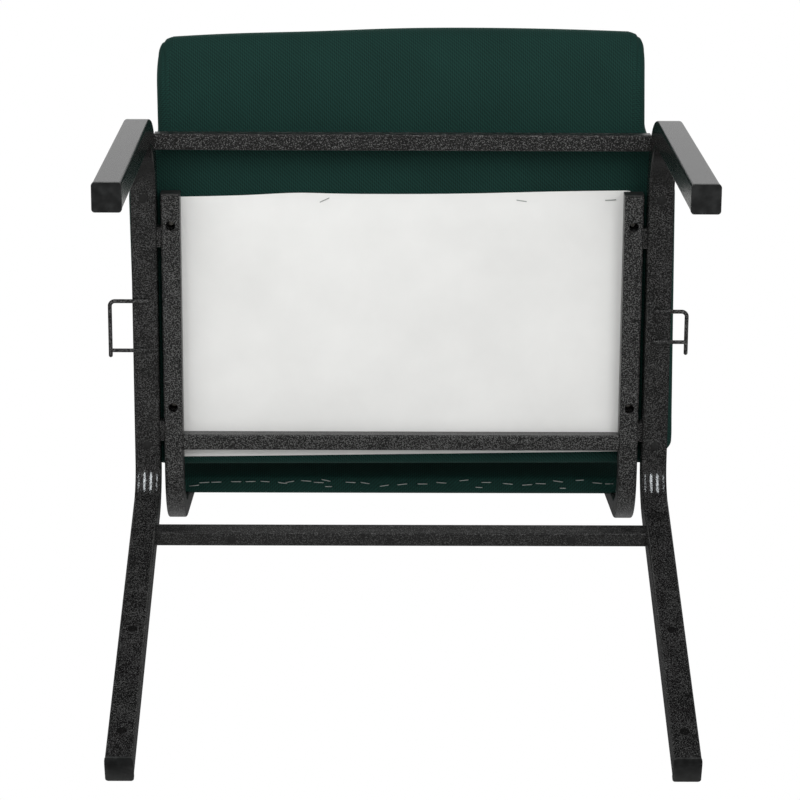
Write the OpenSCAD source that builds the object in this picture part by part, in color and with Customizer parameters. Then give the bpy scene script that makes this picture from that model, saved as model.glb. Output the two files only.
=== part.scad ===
// Stacking church chair: welded square-tube frame with an upholstered seat and back.
// Millimetres, +Z up, the chair faces -Y and stands on z = 0.
// The modules are drawn from the front legs' centre line and the chair's middle plane;
// placed() then puts the middle of the overall box on the origin.

/* [Leg frames] */
// Width over the two leg frames
frame_w = 533; // [480:1:600]
// Height of the underside of the seat rails above the floor
rail_h = 378; // [330:1:420]
// Rail length between the leg centre lines
rail_run = 375; // [350:1:430]
// Slope of the rear legs
rear_slope = 20.5; // [12:0.5:24]
// Side of the square leg tube
leg_tube = 25; // [22:0.5:30]
// Wall of the leg tube
leg_wall = 1.5; // [1:0.1:2]
// Corner radius of the leg tube
leg_corner = 2.5; // [2.2:0.1:4]
// Radius of the front bends at the leg tube's centre line
front_bend = 70; // [60:1:78]
// Radius of the rear bends at the leg tube's centre line
rear_bend = 46; // [38:1:55]

/* [Seat and back tubes] */
// Side of the square seat and back tube
seat_tube = 19; // [16:0.5:22]
// Wall of the seat and back tube
seat_tube_wall = 1.5; // [1:0.1:2]
// Corner radius of the seat and back tube
seat_tube_corner = 2.2; // [2.1:0.1:3]
// Gap between a leg frame and the seat tube beside it
tube_gap = 4; // [2:0.5:10]
// Start of the seat tubes behind the front legs' centre line
seat_tube_start = 72; // [66:1:90]
// Bend radius of the seat tube at its centre line
upright_bend = 52.5; // [45:0.5:60]
// Lean of the back
back_lean = 5; // [3:0.5:9]
// Side of the square crossbar tube
bar_tube = 16; // [13:0.5:18]
// Height of the rear legs' brace above the floor
brace_h = 321; // [280:1:335]

/* [Seat] */
// Depth of the seat cushion
seat_depth = 432; // [410:1:450]
// Reach of the seat's front corners in front of the front legs' centre line
seat_reach = 77; // [66:1:90]
// Thickness of the seat, from the wrapped underside to the top
seat_thick = 100; // [70:1:115]
// Overhang of the seat beyond the leg frames
seat_overhang = 7; // [4:0.5:15]
// Inset of the narrower seat front from the leg frames' outer faces
front_inset = 24; // [15:1:34]
// Thickness of the plywood boards
board_t = 12; // [9:0.5:15]

/* [Back] */
// Height of the upholstered back, along its lean
back_len = 388; // [330:1:440]
// Overhang of the back beyond the uprights
back_overhang = 7.5; // [5:0.5:12]
// Thickness of the back cushion in front of its board
back_foam = 34; // [24:1:38]

/* [Feet and fittings] */
// Thickness of the glides' caps
glide_t = 4; // [3:0.5:6]
// Wire diameter of the ganging brackets
wire_d = 4; // [3:0.5:6]
// Reach of the left bracket beyond the leg frame
left_reach = 23.9; // [18:0.1:34]
// Reach of the right bracket beyond the leg frame
right_reach = 17.2; // [14:0.1:30]

/* [Hidden] */
$fn = 48;

// Clearances shared by all pieces
fit_gap = 0.15;
soft_gap = 0.3;
overrun = 1;

// Bent tube draws in a little, and its straight runs lap the bends
bend_draw = 0.05;
bend_lap = 0.2;

// Leg frames: centre lines in the side plane, y from the front leg, z from the floor
leg_x = (frame_w - leg_tube)/2;
rail_z = rail_h + leg_tube/2;
rear_turn = 90 - rear_slope;
rear_tangent = rear_bend*tan(rear_turn/2);
rail_end = rail_run - rear_tangent;
toe_drop = 2;
cap_over = 0.4;
cap_side = leg_tube + 2*cap_over;
rear_leg_len = (rail_z + toe_drop - cap_side/2*sin(rear_slope))/cos(rear_slope);

// Seat and back tubes
seat_tube_x = frame_w/2 - leg_tube - tube_gap - seat_tube/2;
seat_tube_z = rail_h + leg_tube - seat_tube/2;
front_bow = 6;
seat_rear = seat_depth - seat_reach - front_bow;
upright_setback = 7.5;
upright_y = seat_rear + upright_setback;
upright_turn = 90 - back_lean;
lean_y = upright_y + upright_bend*sin(upright_turn);
lean_z = seat_tube_z + upright_bend - upright_bend*cos(upright_turn);
back_start = 22;
upright_top_gap = 20;
upright_len = back_start + back_len - upright_top_gap;

// Crossbars
bar_wall = 1.2;
bar_corner = 2;
front_bar_y = 17.6;
front_bar_rise = 3;
front_bar_z = rail_h + front_bar_rise;
rear_bar_back = 25;
rear_bar_y = seat_rear - rear_bar_back;
brace_y = rail_run + (rail_z - brace_h)*tan(rear_slope);
back_bar_drop = 70;

// Weld blocks between the tubes
spacer_len = 20;
spacer_tall = 12;
spacer_front_y = 115;
spacer_before_bend = 30;
spacer_rear_y = rail_end - spacer_before_bend;

// Glides and plugs
stem_len = 18;
stem_wall = 2;
stem_corner = 0.8;
plug_cap = 1.2;
plug_len = 14;

// Bumpers: a low dome on a round stem
bumper_d = 9;
bumper_rise = 1.4;
bumper_stem_d = 5;
bumper_stem_len = 6;
rail_bumper_front_y = front_bend + bumper_d/2;
rail_bumper_rear_y = rail_end - bumper_d*2;
leg_bumper_heights = [39, 172.5];
brace_bumper_share = 0.66;

// Brackets: long wire out from under the rail and back along it, short wire closing the loop
bracket_bend = 5;
short_wire_less = 0.2;
bracket_hold = 17;
left_long_y = 177;
left_short_y = 227;
left_end_y = 232;
right_long_y = 186;
right_short_y = 217;
right_end_y = 228;

// Screws
screw_d = 5;
screw_head_d = 9;
screw_head_t = 3;
screw_bite = 9;
access_d = 9.6;
screw_inset = 31;
screw_before_bar = 36;
seat_screw_front_y = seat_tube_start + screw_inset;
seat_screw_rear_y = rear_bar_y - screw_before_bar;
back_screw_low = 50;
back_screw_drop = 110;
back_screw_us = [back_start + back_screw_low, back_start + back_len - back_screw_drop];

// Seat: heights of the layers over the rails' top
rail_top = rail_h + leg_tube;
cover_t = 0.4;
wrap_low = rail_top + cover_t + soft_gap;
wrap_t = 1;
seat_board_z = wrap_low + wrap_t + soft_gap;
seat_top = wrap_low + seat_thick;
seat_half = frame_w/2 + seat_overhang;
seat_front_half = frame_w/2 - front_inset;
wrap_margin = 40;
pocket_gap = 0.3;
board_front_y = 16;
board_edge = 14;
cover_front_y = seat_tube_start + 1;
cover_rear_gap = 9;
cover_half = seat_tube_x + seat_tube/4;
cover_corner = 12;

// Seat cushion's shape
nose_flat_low = 38;
nose_top_flat = -22;
nose_mid_share = 0.46;
nose_corner = 26;
rear_corner = 18;
flare_start = 10;
flare_end = 80;
side_draw = 2.5;
seat_crown = 9;
seat_edge = 24;
seat_low_edge = 8;
rear_edge_low = 8;
rear_edge_high = 20;
nose_low_power = 2;
nose_top_power = 2.4;
nose_last_share = 0.9995;

// Back: layers in front of the uprights, all along the lean
back_wrap_w = -seat_tube/2 - soft_gap;
back_board_w = back_wrap_w - wrap_t - soft_gap;
back_half = seat_tube_x + seat_tube/2 + back_overhang;
back_top = back_start + back_len;
back_top_corner = 34;
back_low_corner = 20;
back_crown = 8;
back_edge = 16;
back_end = 18;
back_belly = 6;
back_draw = 2;
back_board_edge = 15;
cover_wall = 1.6;
cover_w = seat_tube/2 + soft_gap + cover_wall;
cover_rise = 100;
cover_in = 1.5;

// Staples
staple_len = 10;
staple_d = 1;
staple_pitch = 14.6;
back_staple_w = -20;
staple_wobble = 6;
staple_wobble_step = 77;
dust_staple_shares = [-0.327, 0.511, 0.889];
dust_staple_turns = [-20, 8, -12];
dust_staple_in = 2;

// Overall box, which places the chair on its origin
mid_x = (left_reach - right_reach)/2;
rear_most = rail_run + rear_leg_len*sin(rear_slope) + cap_side/2*cos(rear_slope);
mid_y = (rear_most - seat_reach - front_bow)/2;

module placed() {
    translate([mid_x, -mid_y, 0]) children();
}

// Square with round corners
module tube_section(side, corner) {
    square([side, side - 2*corner], center = true);
    square([side - 2*corner, side], center = true);
    for (x = [-1, 1], y = [-1, 1]) {
        translate([x*(side/2 - corner), y*(side/2 - corner)]) circle(r = corner);
    }
}

// Turns a drawing in the side plane (x back, y up) to stand at one side of the chair
module side_plane(x) {
    translate([x, 0, 0]) rotate([90, 0, 90]) children();
}

// Straight run of tube in the side plane, from a point, along a heading, longer at both ends
module run(from, heading, length, before, after, side, corner) {
    translate(from) rotate([0, 0, heading]) rotate([0, 90, 0]) translate([0, 0, -before])
        linear_extrude(height = before + length + after) tube_section(side, corner);
}

// Bend of tube in the side plane, about a centre
module bend(centre, radius, from_angle, sweep, side, corner) {
    translate(centre) rotate([0, 0, from_angle])
        rotate_extrude(angle = sweep) translate([radius, 0])
            tube_section(side - 2*bend_draw, corner);
}

// One leg frame's solid: front leg, rail and rear leg, with its ends longer by extra
module leg_path(side, corner, extra) {
    run([0, glide_t], 90, rail_z - front_bend - glide_t, extra, bend_lap, side, corner);
    bend([front_bend, rail_z - front_bend], front_bend, 90, 90, side, corner);
    run([front_bend, rail_z], 0, rail_end - front_bend, bend_lap, bend_lap, side, corner);
    bend([rail_end, rail_z - rear_bend], rear_bend, 90, -rear_turn, side, corner);
    run([rail_end + rear_bend*cos(rear_slope), rail_z - rear_bend + rear_bend*sin(rear_slope)],
        rear_slope - 90, rear_leg_len - rear_tangent - glide_t, bend_lap, extra, side, corner);
}

// Point on the rear leg's centre line at a height
function rear_leg_at(z) = [rail_run + (rail_z - z)*tan(rear_slope), z];

// Places children on the front face of the rear leg at a height, +Z out of the face
module on_rear_leg(z) {
    translate([0, rear_leg_at(z)[0], z]) rotate([90 + rear_slope, 0, 0])
        translate([0, 0, leg_tube/2]) children();
}

module leg_frame(side) {
    difference() {
        side_plane(side*leg_x) difference() {
            leg_path(leg_tube, leg_corner, 0);
            leg_path(leg_tube - 2*leg_wall, leg_corner - leg_wall, overrun);
        }
        for (y = [rail_bumper_front_y, rail_bumper_rear_y]) {
            translate([side*leg_x, y, rail_h - overrun])
                cylinder(d = bumper_stem_d + 2*fit_gap, h = leg_wall + 2*overrun);
        }
        for (z = leg_bumper_heights) {
            translate([side*leg_x, 0, 0]) on_rear_leg(z) translate([0, 0, -leg_wall - overrun])
                cylinder(d = bumper_stem_d + 2*fit_gap, h = leg_wall + 2*overrun);
        }
    }
}

// Places children at the foot of the upright's straight stretch: +Z up its lean, +Y to the rear
module in_back() {
    translate([0, lean_y, lean_z]) rotate([-back_lean, 0, 0]) children();
}

// One seat and back tube's solid, with its ends longer by extra
module seat_path(side, corner, extra) {
    run([seat_tube_start, seat_tube_z], 0, upright_y - seat_tube_start, extra, bend_lap,
        side, corner);
    bend([upright_y, seat_tube_z + upright_bend], upright_bend, -90, upright_turn,
        side, corner);
    run([lean_y, lean_z], 90 - back_lean, upright_len, bend_lap, extra, side, corner);
}

module seat_back_tube(side) {
    difference() {
        side_plane(side*seat_tube_x) difference() {
            seat_path(seat_tube, seat_tube_corner, 0);
            seat_path(seat_tube - 2*seat_tube_wall, seat_tube_corner - seat_tube_wall, overrun);
        }
        for (y = [seat_screw_front_y, seat_screw_rear_y]) {
            translate([side*seat_tube_x, y, seat_tube_z - seat_tube/2 - overrun]) {
                cylinder(d = access_d, h = seat_tube_wall + 2*overrun);
                cylinder(d = screw_d + 2*fit_gap, h = seat_tube + 2*overrun);
            }
        }
        in_back() for (u = back_screw_us) {
            translate([side*seat_tube_x, seat_tube/2 + overrun, u]) rotate([90, 0, 0]) {
                cylinder(d = access_d, h = seat_tube_wall + 2*overrun);
                cylinder(d = screw_d + 2*fit_gap, h = seat_tube + 2*overrun);
            }
        }
    }
}

// Square tube across the chair, centred
module crossbar(length, turn) {
    rotate([turn, 0, 0]) rotate([0, 90, 0])
        difference() {
            linear_extrude(height = length, center = true) tube_section(bar_tube, bar_corner);
            linear_extrude(height = length + 2*overrun, center = true)
                tube_section(bar_tube - 2*bar_wall, bar_corner - bar_wall);
        }
}

module tube_spacers() {
    color("dimgray") placed()
        for (side = [-1, 1], y = [spacer_front_y, spacer_rear_y]) {
            translate([side*(leg_x - leg_tube/2 - tube_gap/2), y, seat_tube_z])
                cube([tube_gap, spacer_len, spacer_tall], center = true);
        }
}

module front_crossbar() {
    color("dimgray") placed() translate([0, front_bar_y, front_bar_z])
        crossbar(2*leg_x - leg_tube + 2*bend_draw, 0);
}

module rear_seat_crossbar() {
    color("dimgray") placed()
        translate([0, rear_bar_y, seat_tube_z - seat_tube/2 + bar_tube/2])
            crossbar(2*seat_tube_x - seat_tube, 0);
}

// Places children on the brace's centre line, turned with the rear legs
module brace_frame() {
    translate([0, brace_y, brace_h]) rotate([rear_slope, 0, 0]) children();
}

module rear_leg_brace() {
    color("dimgray") placed() difference() {
        brace_frame() crossbar(2*leg_x - leg_tube, 0);
        brace_bumper_places() translate([0, 0, -bar_wall - overrun])
            cylinder(d = bumper_stem_d + 2*fit_gap, h = bar_wall + 2*overrun);
    }
}

module back_crossbar() {
    color("dimgray") placed() in_back() translate([0, 0, back_top - back_bar_drop])
        crossbar(2*seat_tube_x - seat_tube, 0);
}

// Cap of a glide with its hollow stem, cap face down at z = 0
module glide() {
    linear_extrude(height = glide_t) tube_section(cap_side, leg_corner + cap_over);
    difference() {
        linear_extrude(height = glide_t + stem_len)
            tube_section(leg_tube - 2*leg_wall - 2*fit_gap, stem_corner);
        translate([0, 0, glide_t]) linear_extrude(height = stem_len + overrun)
            tube_section(leg_tube - 2*leg_wall - 2*stem_wall, stem_corner);
    }
}

module front_glide(side) {
    color("black") placed() translate([side*leg_x, 0, 0]) glide();
}

// The rear cap is square to the sloping leg and moulded flat where it meets the floor
module rear_glide(side) {
    color("black") placed() difference() {
        translate([side*leg_x, rail_run + rear_leg_len*sin(rear_slope),
                rail_z - rear_leg_len*cos(rear_slope)])
            rotate([rear_slope, 0, 0]) glide();
        translate([side*leg_x, rail_run + rear_leg_len*sin(rear_slope), -cap_side/2])
            cube([2*cap_side, 2*cap_side, cap_side], center = true);
    }
}

module seat_tube_plugs() {
    color("black") placed() for (side = [-1, 1]) {
        translate([side*seat_tube_x, seat_tube_start, seat_tube_z]) rotate([-90, 0, 0]) {
            translate([0, 0, -plug_cap]) linear_extrude(height = plug_cap)
                tube_section(seat_tube, seat_tube_corner);
            linear_extrude(height = plug_len)
                tube_section(seat_tube - 2*seat_tube_wall - 2*fit_gap, stem_corner);
        }
    }
}

// Wire in the horizontal plane under a rail, drawn for the right side
module gang_bracket(reach, long_y, short_y, end_y) {
    out = frame_w/2 + reach - wire_d/2;
    start = frame_w/2 - bracket_hold;
    z = rail_h - wire_d/2;
    translate([start, long_y, z]) rotate([0, 90, 0])
        cylinder(d = wire_d, h = out - bracket_bend - start);
    translate([out - bracket_bend, long_y + bracket_bend, z]) rotate([0, 0, -90])
        rotate_extrude(angle = 90) translate([bracket_bend, 0]) circle(d = wire_d);
    translate([out, long_y + bracket_bend, z]) rotate([-90, 0, 0])
        cylinder(d = wire_d, h = end_y - long_y - bracket_bend);
    translate([out, end_y, z]) sphere(d = wire_d);
    translate([start, short_y, z]) rotate([0, 90, 0])
        cylinder(d = wire_d - short_wire_less, h = out - start);
}

module left_gang_bracket() {
    color("dimgray") placed() mirror([1, 0, 0])
        gang_bracket(left_reach, left_long_y, left_short_y, left_end_y);
}

module right_gang_bracket() {
    color("dimgray") placed()
        gang_bracket(right_reach, right_long_y, right_short_y, right_end_y);
}

// Low dome with its stem, the dome's foot on z = 0
module bumper() {
    dome_r = (bumper_d*bumper_d/4 + bumper_rise*bumper_rise)/(2*bumper_rise);
    rotate_extrude() intersection() {
        translate([0, bumper_rise - dome_r]) circle(r = dome_r);
        square([bumper_d/2, bumper_rise]);
    }
    translate([0, 0, -bumper_stem_len]) cylinder(d = bumper_stem_d, h = bumper_stem_len);
}

module rail_bumpers() {
    color("black") placed()
        for (side = [-1, 1], y = [rail_bumper_front_y, rail_bumper_rear_y]) {
            translate([side*leg_x, y, rail_h]) rotate([180, 0, 0]) bumper();
        }
}

module leg_bumpers() {
    color("black") placed()
        for (side = [-1, 1], z = leg_bumper_heights) {
            translate([side*leg_x, 0, 0]) on_rear_leg(z) bumper();
        }
}

module brace_bumper_places() {
    for (side = [-1, 1]) {
        brace_frame() translate([side*brace_bumper_share*leg_x, 0, 0]) rotate([180, 0, 0])
            translate([0, 0, bar_tube/2]) children();
    }
}

module brace_bumpers() {
    color("black") placed() brace_bumper_places() bumper();
}

// Pan head screw, head's underside on z = 0, shank down
module screw(shank) {
    rotate_extrude() polygon([[0, screw_head_t], [screw_head_d/4, screw_head_t],
        [screw_head_d/2, screw_head_t/3], [screw_head_d/2, 0], [0, 0]]);
    translate([0, 0, -shank]) cylinder(d = screw_d, h = shank);
}

module seat_screws() {
    head_z = seat_tube_z + seat_tube/2 - seat_tube_wall;
    color("silver") placed()
        for (side = [-1, 1], y = [seat_screw_front_y, seat_screw_rear_y]) {
            translate([side*seat_tube_x, y, head_z]) rotate([180, 0, 0])
                screw(seat_board_z + screw_bite - head_z);
        }
}

module back_screws() {
    color("silver") placed() in_back()
        for (side = [-1, 1], u = back_screw_us) {
            translate([side*seat_tube_x, seat_tube_wall - seat_tube/2, u]) rotate([-90, 0, 0])
                screw(seat_tube_wall - seat_tube/2 - back_board_w + screw_bite);
        }
}

// Half-width of the seat at a distance behind the front legs: narrow nose, flare, drawn-in side
function ease(t) = let(c = max(0, min(1, t))) c*c*(3 - 2*c);
function corner_cut(d, r) = d >= r ? 0 : r - sqrt(r*r - (r - d)*(r - d));
function seat_side(y) = seat_front_half
    + (seat_half - seat_front_half)*ease((y - flare_start)/(flare_end - flare_start))
    - side_draw*ease((y - flare_end)/flare_end)*ease((seat_rear - y)/flare_end)
    - corner_cut(y + seat_reach, nose_corner) - corner_cut(seat_rear - y, rear_corner);

// Underside and top of the seat's section: both close on the nose, and round off at the rear
function nose_share(y, flat) = max(0, (flat - y)/(flat + seat_reach));
nose_z = wrap_low + nose_mid_share*seat_thick;
function nose_round(s, power) = pow(1 - pow(s, power), 1/power);
function seat_low(y) = nose_z - (nose_z - wrap_low)
    *nose_round(nose_share(y, nose_flat_low), nose_low_power)
    + corner_cut(seat_rear - y, rear_edge_low);
function seat_high(y) = nose_z + (seat_top - nose_z)
    *nose_round(nose_share(y, nose_top_flat), nose_top_power)
    - corner_cut(seat_rear - y, rear_edge_high);

// One section across a padded piece: half-width w, from a to b, with edge radii, crown and bow.
// Returns points as [across, along the thickness, bow share].
arc_steps = 4;
crown_steps = 10;
low_edge_share = 0.3;
high_edge_share = 0.6;
function pad_section(w, a, b, low_r, high_r, crown, draw) =
    let(r1 = min(low_r, (b - a)*low_edge_share), r2 = min(high_r, (b - a)*high_edge_share),
        s = w - draw)
    concat(
        [for (i = [0:crown_steps]) [(w - r1)*(2*i/crown_steps - 1), a]],
        [for (i = [1:arc_steps]) let(t = 90*i/arc_steps)
            [w - r1 + r1*sin(t), a + r1 - r1*cos(t)]],
        [[s, (a + r1 + b - r2)/2]],
        [for (i = [0:arc_steps]) let(t = 90*i/arc_steps)
            [w - r2 + r2*cos(t), b - r2 + r2*sin(t)]],
        [for (i = [1:crown_steps - 1]) let(k = 1 - 2*i/crown_steps)
            [(w - r2)*k, b + crown*(1 - k*k)]],
        [for (i = [0:arc_steps]) let(t = 90*i/arc_steps)
            [-w + r2 - r2*sin(t), b - r2 + r2*cos(t)]],
        [[-s, (a + r1 + b - r2)/2]],
        [for (i = [0:arc_steps - 1]) let(t = 90*i/arc_steps)
            [-w + r1 - r1*cos(t), a + r1 - r1*sin(t)]]);

function mean(ring) = [for (p = ring) 1]*ring/len(ring);

// Solid through a row of closed rings with as many points each, ends closed by fans
module loft(rings) {
    n = len(rings[0]);
    m = len(rings);
    polyhedron(
        points = concat([for (ring = rings) each ring], [mean(rings[0]), mean(rings[m - 1])]),
        faces = concat(
            [for (j = [0:m - 2], i = [0:n - 1]) let(k = (i + 1)%n)
                each [[j*n + i, (j + 1)*n + i, (j + 1)*n + k], [j*n + i, (j + 1)*n + k, j*n + k]]],
            [for (i = [0:n - 1]) [m*n, i, (i + 1)%n]],
            [for (i = [0:n - 1]) [m*n + 1, (m - 1)*n + (i + 1)%n, (m - 1)*n + i]]));
}

// Stations along the seat: close together at the nose and the rear edge
nose_steps = 9;
mid_steps = 9;
rear_steps = 4;
seat_stations = concat(
    [for (i = [0:nose_steps]) let(t = 90*(1 - i/nose_steps))
        nose_flat_low - (nose_flat_low + seat_reach)*sin(t)*(i == 0 ? nose_last_share : 1)],
    [for (i = [1:mid_steps]) nose_flat_low
        + (seat_rear - rear_edge_high - nose_flat_low)*i/mid_steps],
    [for (i = [1:rear_steps]) seat_rear - rear_edge_high*(1 - sin(90*i/rear_steps))
        - (i == rear_steps ? soft_gap : 0)]);

function seat_ring(y) =
    let(w = seat_side(y), a = seat_low(y), b = seat_high(y),
        crown = seat_crown*ease((b - a)/seat_thick)*ease((y + seat_reach)/seat_thick)
            *ease((seat_rear + soft_gap - y)/seat_thick),
        bow = front_bow*ease((flare_end - y)/(flare_end + seat_reach)))
    [for (p = pad_section(w, a, b, seat_low_edge, seat_edge, crown, side_draw))
        [p[0], y - bow*(1 - pow(p[0]/w, 2)), p[1]]];

// Seat board's outline, inset from the cushion's side
function board_side(y, edge) = seat_side(max(y, board_front_y)) - edge;
board_rows = 10;
function board_outline(edge, gap) =
    let(y0 = board_front_y - gap, y1 = seat_rear - edge + gap)
    concat(
        [for (i = [0:board_rows]) let(y = y0 + (y1 - y0)*i/board_rows)
            [board_side(y, edge) + gap, y]],
        [for (i = [board_rows:-1:0]) let(y = y0 + (y1 - y0)*i/board_rows)
            [-board_side(y, edge) - gap, y]]);

module seat_board() {
    color("burlywood") placed() difference() {
        translate([0, 0, seat_board_z]) linear_extrude(height = board_t)
            polygon(board_outline(board_edge, 0));
        for (side = [-1, 1], y = [seat_screw_front_y, seat_screw_rear_y]) {
            translate([side*seat_tube_x, y, seat_board_z - overrun])
                cylinder(d = screw_d + 2*fit_gap, h = screw_bite + 2*overrun);
        }
    }
}

// Cushion with the board's pocket, the window between the turned-under fabric's edges,
// and holes for the screws
module seat_cushion() {
    color("darkgreen") placed() difference() {
        loft([for (y = seat_stations) seat_ring(y)]);
        translate([0, 0, seat_board_z - pocket_gap])
            linear_extrude(height = board_t + 2*pocket_gap)
                polygon(board_outline(board_edge, pocket_gap));
        translate([0, (cover_front_y + seat_rear)/2, wrap_low])
            cube([2*(seat_tube_x - wrap_margin), seat_rear - cover_front_y - 2*wrap_margin,
                2*(wrap_t + soft_gap)], center = true);
        for (side = [-1, 1], y = [seat_screw_front_y, seat_screw_rear_y]) {
            translate([side*seat_tube_x, y, wrap_low - overrun])
                cylinder(d = screw_d + 2*soft_gap, h = wrap_t + 2*overrun);
        }
    }
}

// Sheet over the tubes' tops, one corner cut off, with holes for the screws
module dust_cover() {
    rear_y = seat_rear - cover_rear_gap;
    color("white") placed() difference() {
        translate([0, 0, rail_top]) linear_extrude(height = cover_t)
            polygon([[-cover_half, cover_front_y], [cover_half - cover_corner, cover_front_y],
                [cover_half, cover_front_y + cover_corner], [cover_half, rear_y],
                [-cover_half, rear_y]]);
        for (side = [-1, 1], y = [seat_screw_front_y, seat_screw_rear_y]) {
            translate([side*seat_tube_x, y, rail_top - overrun])
                cylinder(d = screw_d + 2*soft_gap, h = cover_t + 2*overrun);
        }
    }
}

// Staple's crown, lying on z = 0
module staple() {
    translate([0, 0, staple_d/2]) rotate([0, 90, 0])
        cylinder(d = staple_d, h = staple_len, center = true);
}

module dust_cover_staples() {
    color("silver") placed() for (i = [0:len(dust_staple_shares) - 1]) {
        translate([dust_staple_shares[i]*cover_half, cover_front_y + dust_staple_in + staple_d,
                rail_top])
            rotate([0, 0, dust_staple_turns[i]]) rotate([180, 0, 0]) staple();
    }
}

// Back cushion's half-width, depth and rear plane at a height along the lean
function back_side(u) = back_half - corner_cut(back_top - u, back_top_corner)
    - corner_cut(u - back_start, back_low_corner);
function back_front(u) = -back_board_w + board_t + soft_gap
    + back_foam + back_belly*sin(180*ease((u - back_start)/back_len))
    - corner_cut(back_top - u, back_end) - corner_cut(u - back_start, back_end);
back_end_steps = 5;
back_mid_steps = 12;
back_stations = concat(
    [for (i = [0:back_end_steps]) back_start + soft_gap
        + (back_low_corner - soft_gap)*(1 - cos(90*i/back_end_steps))],
    [for (i = [1:back_mid_steps]) back_start + back_low_corner
        + (back_len - back_low_corner - back_top_corner)*i/back_mid_steps],
    [for (i = [1:back_end_steps]) back_top - back_top_corner
        + (back_top_corner - soft_gap)*sin(90*i/back_end_steps)]);

function back_ring(u) =
    let(crown = back_crown*ease((u - back_start)/back_foam)*ease((back_top - u)/back_foam))
    [for (p = pad_section(back_side(u), -back_wrap_w, back_front(u), wrap_t, back_edge,
            crown, back_draw))
        [p[0], -p[1], u]];

module back_board() {
    color("burlywood") placed() in_back() difference() {
        translate([0, back_board_w, 0]) rotate([90, 0, 0]) linear_extrude(height = board_t)
            back_outline(back_board_edge);
        for (side = [-1, 1], u = back_screw_us) {
            translate([side*seat_tube_x, back_board_w + overrun, u]) rotate([90, 0, 0])
                cylinder(d = screw_d + 2*fit_gap, h = screw_bite + 2*overrun);
        }
    }
}

// Back's front view, inset by an edge, with round corners
module back_outline(edge) {
    r = back_low_corner;
    w = back_half - edge;
    low = back_start + edge/4;
    high = back_top - edge;
    translate([-w + r, low]) square([2*w - 2*r, high - low]);
    translate([-w, low + r]) square([2*w, high - low - 2*r]);
    for (x = [-1, 1], y = [low + r, high - r]) translate([x*(w - r), y]) circle(r = r);
}

module back_cushion() {
    color("darkgreen") placed() in_back() difference() {
        loft([for (u = back_stations) back_ring(u)]);
        translate([0, back_board_w + pocket_gap, 0]) rotate([90, 0, 0])
            linear_extrude(height = board_t + 2*pocket_gap)
                back_outline(back_board_edge - pocket_gap);
        translate([0, back_wrap_w, (back_start + back_top)/2])
            cube([2*(seat_tube_x - wrap_margin), 2*(wrap_t + soft_gap),
                back_len - 2*wrap_margin], center = true);
        for (side = [-1, 1], u = back_screw_us) {
            translate([side*seat_tube_x, back_wrap_w + overrun, u]) rotate([90, 0, 0])
                cylinder(d = screw_d + 2*soft_gap, h = wrap_t + 2*overrun);
        }
    }
}

// Side view of the rear cover: drawn forward at the foot to the cushion's lower edge.
// Points are [rearward, up the lean].
function cover_profile(inset, ahead) =
    let(front_w = back_wrap_w + soft_gap, foot = back_start + cover_in,
        top = back_top - cover_in)
    [[front_w - ahead, foot + 2*inset], [front_w + cover_wall/2 - inset/2, foot + 2*inset],
     [cover_w - inset, foot + cover_rise], [cover_w - inset, top - inset],
     [front_w - ahead, top - inset]];

module back_cover() {
    w = back_half - cover_in;
    color("darkgreen") placed() in_back() difference() {
        intersection() {
            rotate([90, 0, 90]) linear_extrude(height = 2*w, center = true)
                polygon(cover_profile(0, 0));
            translate([0, cover_w + overrun, 0]) rotate([90, 0, 0])
                linear_extrude(height = 2*cover_w + seat_tube) back_outline(cover_in);
        }
        rotate([90, 0, 90]) linear_extrude(height = 2*w - 2*cover_wall, center = true)
            polygon(cover_profile(cover_wall, overrun));
        for (side = [-1, 1]) {
            translate([side*seat_tube_x, 0, back_start + upright_len/2])
                cube([seat_tube + 2*soft_gap, seat_tube + 2*soft_gap, upright_len],
                    center = true);
        }
    }
}

// Row of staples along the back's lower edge, between the uprights
module back_staples() {
    count = floor((2*seat_tube_x - seat_tube)/staple_pitch);
    color("silver") placed() in_back() for (i = [0:count - 1]) {
        translate([(i - (count - 1)/2)*staple_pitch, back_staple_w, back_start])
            rotate([0, 0, staple_wobble*sin(i*staple_wobble_step)]) rotate([180, 0, 0]) staple();
    }
}

module left_leg_frame() { color("dimgray") placed() leg_frame(-1); }
module right_leg_frame() { color("dimgray") placed() leg_frame(1); }
module left_seat_back_tube() { color("dimgray") placed() seat_back_tube(-1); }
module right_seat_back_tube() { color("dimgray") placed() seat_back_tube(1); }

left_leg_frame();
right_leg_frame();
left_seat_back_tube();
right_seat_back_tube();
tube_spacers();
front_crossbar();
rear_seat_crossbar();
rear_leg_brace();
back_crossbar();
front_glide(-1);  // front_left_glide
front_glide(1);  // front_right_glide
rear_glide(-1);  // rear_left_glide
rear_glide(1);  // rear_right_glide
seat_tube_plugs();
left_gang_bracket();
right_gang_bracket();
rail_bumpers();
leg_bumpers();
brace_bumpers();
seat_board();
seat_cushion();
dust_cover();
dust_cover_staples();
seat_screws();
back_board();
back_cushion();
back_cover();
back_staples();
back_screws();
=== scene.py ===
import math

import bmesh
import bpy
import numpy as np
from bpy.props import FloatProperty, FloatVectorProperty, IntProperty, PointerProperty
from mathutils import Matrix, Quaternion, Vector


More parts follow.
